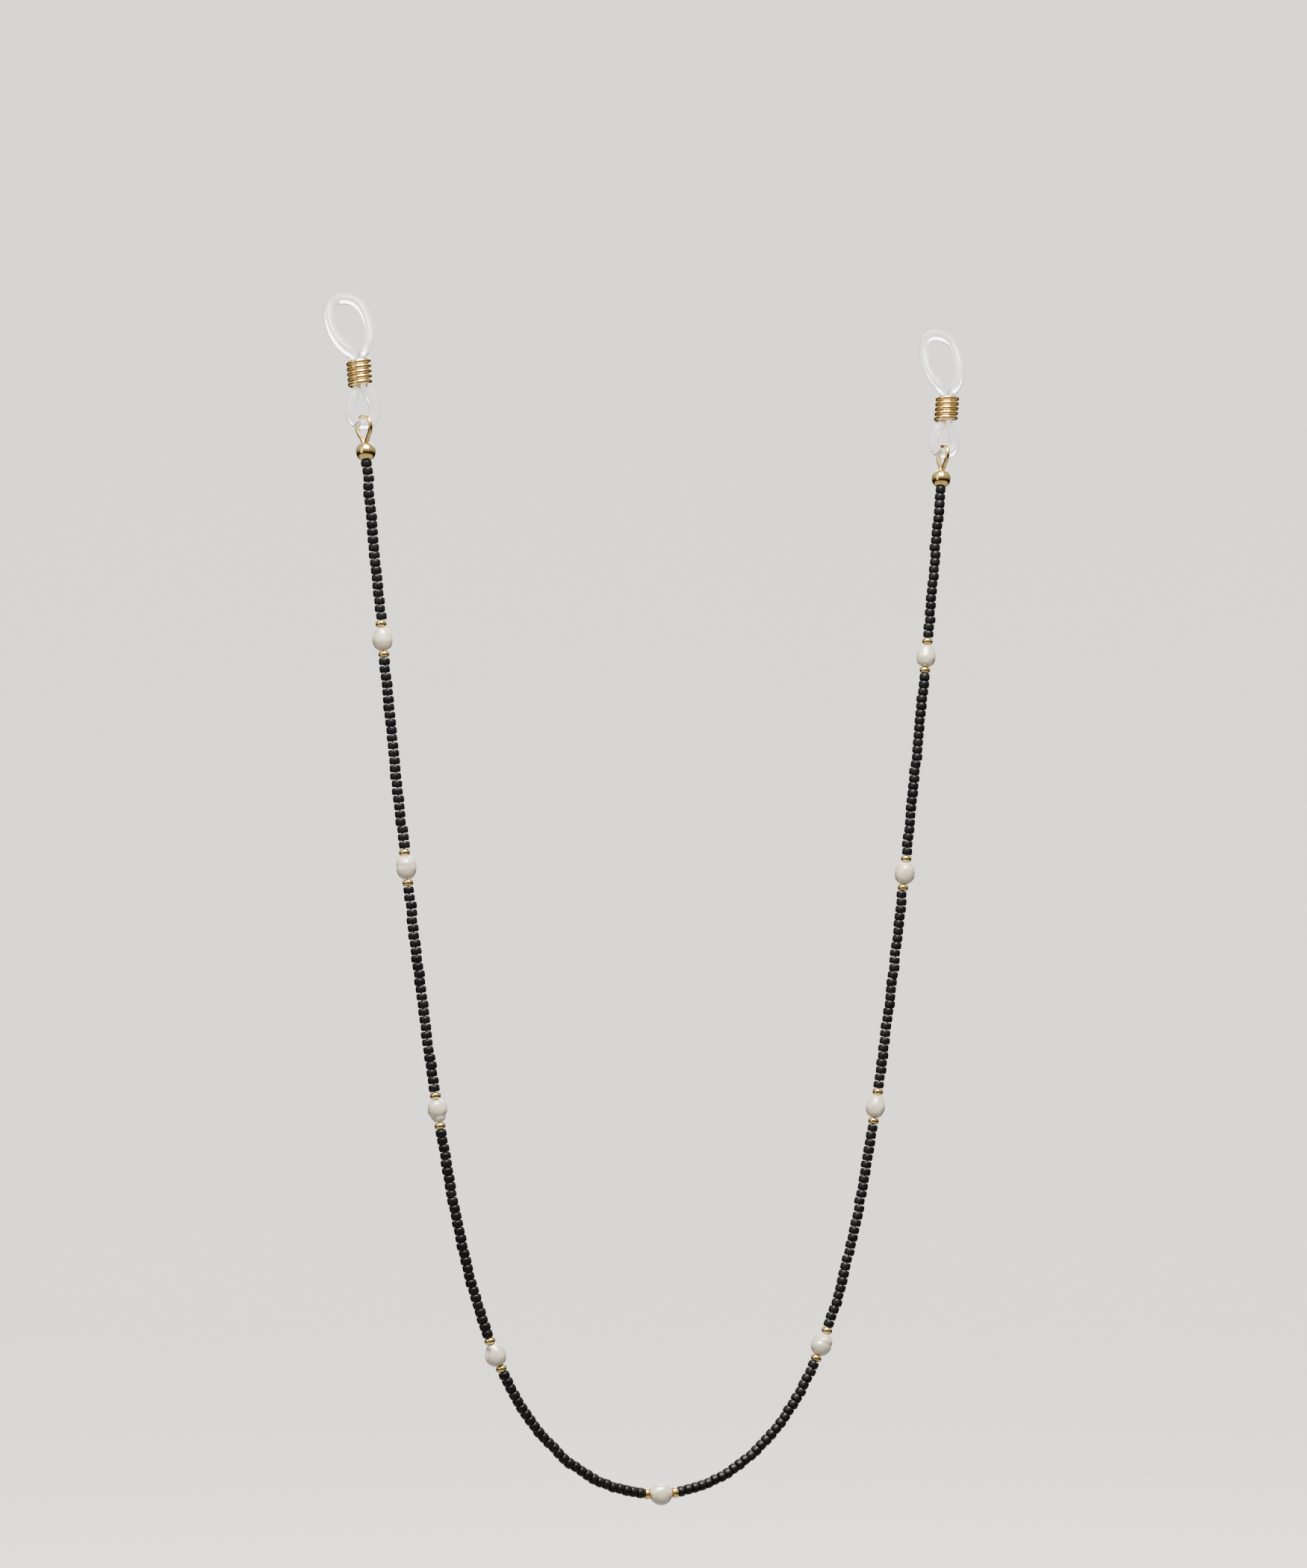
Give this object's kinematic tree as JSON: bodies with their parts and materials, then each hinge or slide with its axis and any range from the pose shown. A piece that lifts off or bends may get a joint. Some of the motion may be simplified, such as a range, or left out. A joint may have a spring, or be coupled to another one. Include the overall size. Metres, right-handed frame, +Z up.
{
  "type": "eyeglass retainer strap",
  "caption": "Beaded eyeglass retainer strap: silicone temple loops with coiled sleeves, wire loops, crimp covers, seed beads, pearls and spacers.",
  "frame": {"origin": "midway between the two silicone loops, in the plane in which the strand hangs, level with the middle of the temples that the loops grip", "axes": "+Z up against gravity, X from the left temple loop to the right one, +Y back along the glasses' temples, square to the hanging strand"},
  "size_m": [0.1306, 0.0099, 0.2245],
  "materials": {
    "silicone": "milky translucent silicone",
    "sleeve_gold": "polished gold plate over coiled wire",
    "fitting_gold": "polished gold plate",
    "spacer_gold": "polished gold plate",
    "seed_glass": "opaque black glass",
    "pearl": "lustrous nacre",
    "beading_wire": "nylon-coated stranded wire"
  },
  "bodies": {
    "end_loops": {"silicone_loop_left": "silicone", "silicone_loop_right": "silicone"},
    "sleeve_left": {"coil_sleeve_left": "sleeve_gold"},
    "sleeve_right": {"coil_sleeve_right": "sleeve_gold"},
    "strand_1": {"wire_loop_left": "fitting_gold", "wire_loop_right": "fitting_gold", "crimp_cover_left": "fitting_gold", "crimp_cover_right": "fitting_gold", "crimp_tube_left": "fitting_gold", "crimp_tube_right": "fitting_gold", "beading_wire_left_1": "beading_wire", "beading_wire_right_1": "beading_wire", "bead_run_left_1": "seed_glass", "bead_run_right_1": "seed_glass", "spacer_above_left_1": "spacer_gold", "spacer_above_right_1": "spacer_gold"},
    "strand_2": {"pearl_left_1": "pearl", "pearl_right_1": "pearl", "spacer_below_left_1": "spacer_gold", "spacer_below_right_1": "spacer_gold", "beading_wire_left_2": "beading_wire", "beading_wire_right_2": "beading_wire", "bead_run_left_2": "seed_glass", "bead_run_right_2": "seed_glass", "spacer_above_left_2": "spacer_gold", "spacer_above_right_2": "spacer_gold"},
    "strand_3": {"pearl_left_2": "pearl", "pearl_right_2": "pearl", "spacer_below_left_2": "spacer_gold", "spacer_below_right_2": "spacer_gold", "beading_wire_left_3": "beading_wire", "beading_wire_right_3": "beading_wire", "bead_run_left_3": "seed_glass", "bead_run_right_3": "seed_glass", "spacer_above_left_3": "spacer_gold", "spacer_above_right_3": "spacer_gold"},
    "strand_4": {"pearl_left_3": "pearl", "pearl_right_3": "pearl", "spacer_below_left_3": "spacer_gold", "spacer_below_right_3": "spacer_gold", "beading_wire_left_4": "beading_wire", "beading_wire_right_4": "beading_wire", "bead_run_left_4": "seed_glass", "bead_run_right_4": "seed_glass", "spacer_above_left_4": "spacer_gold", "spacer_above_right_4": "spacer_gold"},
    "strand_5": {"pearl_left_4": "pearl", "pearl_right_4": "pearl", "spacer_below_left_4": "spacer_gold", "spacer_below_right_4": "spacer_gold", "bead_run_left_5": "seed_glass", "bead_run_right_5": "seed_glass", "spacer_above_left_5": "spacer_gold", "spacer_above_right_5": "spacer_gold", "pearl_middle": "pearl", "beading_wire_bottom": "beading_wire"}
  },
  "joints": [
    {"name": "sleeve_slide_left", "type": "slide", "parent": "end_loops", "child": "sleeve_left", "axis": [-0.0889, 0, 0.996], "range_m": [-0.0025, 0.0025], "deforming": ["silicone_loop_left"]},
    {"name": "sleeve_slide_right", "type": "slide", "parent": "end_loops", "child": "sleeve_right", "axis": [0.0889, 0, 0.996], "range_m": [-0.0025, 0.0025], "deforming": ["silicone_loop_right"]},
    {"name": "swing_1", "type": "hinge", "parent": "end_loops", "child": "strand_1", "pos_m": [0, 0, -0.01873], "axis": [1, 0, 0], "range_deg": [-70, 70]},
    {"name": "bend_2", "type": "hinge", "parent": "strand_1", "child": "strand_2", "pos_m": [0, 0, -0.05807], "axis": [1, 0, 0], "range_deg": [-60, 60]},
    {"name": "bend_3", "type": "hinge", "parent": "strand_2", "child": "strand_3", "pos_m": [0, 0, -0.09999], "axis": [1, 0, 0], "range_deg": [-60, 60]},
    {"name": "bend_4", "type": "hinge", "parent": "strand_3", "child": "strand_4", "pos_m": [0, 0, -0.14457], "axis": [1, 0, 0], "range_deg": [-60, 60]},
    {"name": "bend_5", "type": "hinge", "parent": "strand_4", "child": "strand_5", "pos_m": [0, 0, -0.18947], "axis": [1, 0, 0], "range_deg": [-60, 60]}
  ]
}
